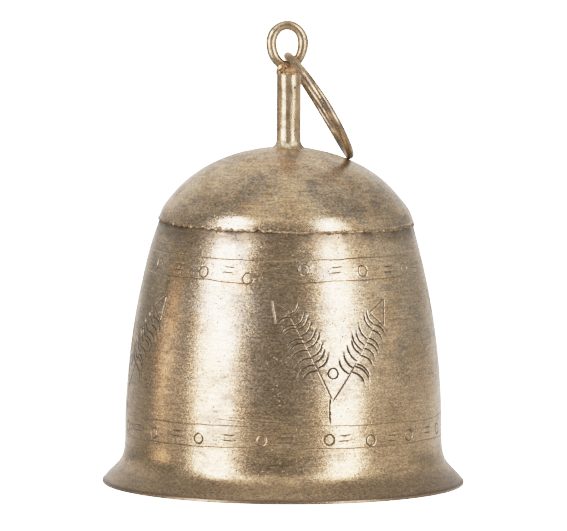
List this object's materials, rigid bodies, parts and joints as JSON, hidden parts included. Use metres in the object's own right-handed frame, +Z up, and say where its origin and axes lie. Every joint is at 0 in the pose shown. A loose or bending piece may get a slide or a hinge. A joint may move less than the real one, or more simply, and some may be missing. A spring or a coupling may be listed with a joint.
{
  "type": "bell",
  "caption": "Hanging prayer bell of sheet brass: domed crown brazed to a scribed, flared barrel, rod handle with a wire eye and loose hanging ring, clapper on a link inside.",
  "frame": {"origin": "centre of the flat ring that the lip stands on", "axes": "+Z up the bell's axis to the eye, the eye faces -Y, and the hanging ring lies down towards +X"},
  "size_m": [0.13, 0.13, 0.1665],
  "materials": {
    "aged_brass": "worn satin with brown-grey patina",
    "handled_brass": "rubbed bright, pitted",
    "brazing_metal": "rough, as brazed",
    "dull_brass": "darkened"
  },
  "bodies": {
    "bell": {"bell_body": "aged_brass", "crown_dome": "aged_brass", "seam_braze": "brazing_metal", "handle_stem": "handled_brass", "stem_braze": "brazing_metal", "suspension_eye": "handled_brass", "eye_braze": "brazing_metal", "inner_washer": "dull_brass", "clapper_staple": "dull_brass"},
    "ring": {"hanging_ring": "handled_brass"},
    "link": {"clapper_link": "dull_brass"},
    "clapper": {"clapper_rod": "dull_brass", "clapper_ball": "dull_brass"}
  },
  "joints": [
    {"name": "ring_swing", "type": "hinge", "parent": "bell", "child": "ring", "pos_m": [0.0005, 0, 0.15375], "axis": [0.0827, -0.9952, 0.0519], "range_deg": [0, 294]},
    {"name": "link_swing", "type": "hinge", "parent": "bell", "child": "link", "pos_m": [0.0012, 0, 0.10832], "axis": [1, 0, 0], "range_deg": [-8, 8]},
    {"name": "clapper_swing", "type": "hinge", "parent": "link", "child": "clapper", "pos_m": [0.0012, 0, 0.09762], "axis": [0, 1, 0], "range_deg": [-32, 34]}
  ]
}
